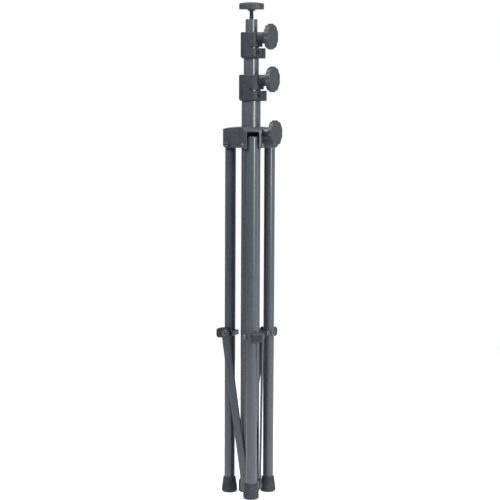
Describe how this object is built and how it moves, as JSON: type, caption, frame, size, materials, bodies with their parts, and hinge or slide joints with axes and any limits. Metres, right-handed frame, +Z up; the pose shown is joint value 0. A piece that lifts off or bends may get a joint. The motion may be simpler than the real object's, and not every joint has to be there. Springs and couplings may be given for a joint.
{
  "type": "telescopic tripod stand",
  "caption": "Folded telescopic tripod stand for a lamp or camera: nested column tubes with lock knobs, a sliding spider, hinged legs with struts and rubber feet, and a clamp knob on top.",
  "frame": {"origin": "on the column's axis at floor level, where the folded stand rests on its feet", "axes": "+Z up along the column, the longest extent; leg A points to -Y; the lock knobs point 60 degrees from -Y towards +X"},
  "size_m": [0.1186, 0.1068, 0.9062],
  "materials": {
    "tube_paint": "satin slate-grey paint on steel",
    "casting_paint": "satin slate-grey paint on a casting",
    "collar_plastic": "moulded dark grey plastic",
    "knob_plastic": "moulded dark grey plastic",
    "spacer_plastic": "black moulded plastic",
    "pad_plastic": "natural nylon",
    "foot_rubber": "moulded rubber",
    "screw_steel": "blackened zinc plating",
    "rivet_steel": "painted tubular rivets"
  },
  "bodies": {
    "column": {"outer_tube": "tube_paint", "lower_collar": "collar_plastic", "lower_pinch_screw": "screw_steel", "lower_pinch_nut": "screw_steel", "lower_brake_pad": "pad_plastic", "lower_insert_nut": "screw_steel", "base_hub": "casting_paint", "base_screw": "screw_steel", "base_rivets": "rivet_steel"},
    "mid_section": {"middle_tube": "tube_paint", "middle_bush": "pad_plastic", "upper_collar": "collar_plastic", "upper_pinch_screw": "screw_steel", "upper_pinch_nut": "screw_steel", "upper_brake_pad": "pad_plastic", "upper_insert_nut": "screw_steel"},
    "top_section": {"inner_tube": "tube_paint", "inner_bush": "pad_plastic", "top_plug": "screw_steel"},
    "top_screw": {"top_stud": "screw_steel"},
    "top_knob": {"top_knob": "knob_plastic"},
    "spider": {"spider_hub": "casting_paint", "spider_brake_pad": "pad_plastic", "spider_insert_nut": "screw_steel", "hub_rivets": "rivet_steel"},
    "upper_lock_screw": {"upper_lock_stud": "screw_steel"},
    "upper_lock_knob": {"upper_lock_knob": "knob_plastic"},
    "lower_lock_screw": {"lower_lock_stud": "screw_steel"},
    "lower_lock_knob": {"lower_lock_knob": "knob_plastic"},
    "spider_lock_screw": {"spider_lock_stud": "screw_steel"},
    "spider_lock_knob": {"spider_lock_knob": "knob_plastic"},
    "leg_a": {"leg_tube_a": "tube_paint", "leg_plug_a": "spacer_plastic", "foot_a": "foot_rubber", "saddle_a": "tube_paint", "spacer_a": "spacer_plastic", "saddle_rivet_a": "rivet_steel"},
    "strut_a": {"strut_a": "tube_paint", "strut_rivet_a": "rivet_steel"},
    "leg_b": {"leg_tube_b": "tube_paint", "leg_plug_b": "spacer_plastic", "foot_b": "foot_rubber", "saddle_b": "tube_paint", "spacer_b": "spacer_plastic", "saddle_rivet_b": "rivet_steel"},
    "strut_b": {"strut_b": "tube_paint", "strut_rivet_b": "rivet_steel"},
    "leg_c": {"leg_tube_c": "tube_paint", "leg_plug_c": "spacer_plastic", "foot_c": "foot_rubber", "saddle_c": "tube_paint", "spacer_c": "spacer_plastic", "saddle_rivet_c": "rivet_steel"},
    "strut_c": {"strut_c": "tube_paint", "strut_rivet_c": "rivet_steel"}
  },
  "joints": [
    {"name": "mid_extend", "type": "slide", "parent": "column", "child": "mid_section", "axis": [0, 0, 1], "range_m": [0, 0.6]},
    {"name": "top_extend", "type": "slide", "parent": "mid_section", "child": "top_section", "axis": [0, 0, 1], "range_m": [0, 0.62]},
    {"name": "top_screw_travel", "type": "slide", "parent": "top_section", "child": "top_screw", "axis": [0, 0, 1], "range_m": [-0.0145, 0]},
    {"name": "top_knob_turn", "type": "hinge", "parent": "top_screw", "child": "top_knob", "pos_m": [0, 0, 0.9], "axis": [0, 0, 1], "range_deg": [-4178, 2]},
    {"name": "spider_fold", "type": "slide", "parent": "column", "child": "spider", "axis": [0, 0, -1], "range_m": [0, 0.22907]},
    {"name": "upper_lock_travel", "type": "slide", "parent": "mid_section", "child": "upper_lock_screw", "axis": [0.866, -0.5, 0], "range_m": [0, 0.00187]},
    {"name": "upper_lock_turn", "type": "hinge", "parent": "upper_lock_screw", "child": "upper_lock_knob", "pos_m": [0.03464, -0.02, 0.844], "axis": [0.866, -0.5, 0], "range_deg": [-2, 542]},
    {"name": "lower_lock_travel", "type": "slide", "parent": "column", "child": "lower_lock_screw", "axis": [0.866, -0.5, 0], "range_m": [0, 0.00187]},
    {"name": "lower_lock_turn", "type": "hinge", "parent": "lower_lock_screw", "child": "lower_lock_knob", "pos_m": [0.03464, -0.02, 0.7672], "axis": [0.866, -0.5, 0], "range_deg": [-2, 542]},
    {"name": "spider_lock_travel", "type": "slide", "parent": "spider", "child": "spider_lock_screw", "axis": [0.866, -0.5, 0], "range_m": [0, 0.00187]},
    {"name": "spider_lock_turn", "type": "hinge", "parent": "spider_lock_screw", "child": "spider_lock_knob", "pos_m": [0.03464, -0.02, 0.67], "axis": [0.866, -0.5, 0], "range_deg": [-2, 542]},
    {"name": "leg_a_fold", "type": "hinge", "parent": "spider", "child": "leg_a", "pos_m": [0, -0.0415, 0.6482], "axis": [-1, 0, 0], "range_deg": [-0.1, 38.1]},
    {"name": "strut_a_fold", "type": "hinge", "parent": "column", "child": "strut_a", "pos_m": [0, 0.0015, 0.015], "axis": [1, 0, 0], "range_deg": [-0.1, 54.82]},
    {"name": "leg_b_fold", "type": "hinge", "parent": "spider", "child": "leg_b", "pos_m": [0.03594, 0.02075, 0.6482], "axis": [0.5, -0.866, 0], "range_deg": [-0.1, 38.1]},
    {"name": "strut_b_fold", "type": "hinge", "parent": "column", "child": "strut_b", "pos_m": [-0.0013, -0.00075, 0.015], "axis": [-0.5, 0.866, 0], "range_deg": [-0.1, 54.82]},
    {"name": "leg_c_fold", "type": "hinge", "parent": "spider", "child": "leg_c", "pos_m": [-0.03594, 0.02075, 0.6482], "axis": [0.5, 0.866, 0], "range_deg": [-0.1, 38.1]},
    {"name": "strut_c_fold", "type": "hinge", "parent": "column", "child": "strut_c", "pos_m": [0.0013, -0.00075, 0.015], "axis": [-0.5, -0.866, 0], "range_deg": [-0.1, 54.82]}
  ],
  "couplings": [
    {"joint": "top_knob_turn", "follows": "top_screw_travel", "rad_per_m": 5026.5},
    {"joint": "upper_lock_turn", "follows": "upper_lock_travel", "rad_per_m": 5026.5},
    {"joint": "lower_lock_turn", "follows": "lower_lock_travel", "rad_per_m": 5026.5},
    {"joint": "spider_lock_turn", "follows": "spider_lock_travel", "rad_per_m": 5026.5},
    {"joint": "leg_a_fold", "follows": "spider_fold", "rad_per_m": 2.8953},
    {"joint": "strut_a_fold", "follows": "spider_fold", "rad_per_m": 4.1652},
    {"joint": "leg_b_fold", "follows": "spider_fold", "rad_per_m": 2.8953},
    {"joint": "strut_b_fold", "follows": "spider_fold", "rad_per_m": 4.1652},
    {"joint": "leg_c_fold", "follows": "spider_fold", "rad_per_m": 2.8953},
    {"joint": "strut_c_fold", "follows": "spider_fold", "rad_per_m": 4.1652}
  ]
}
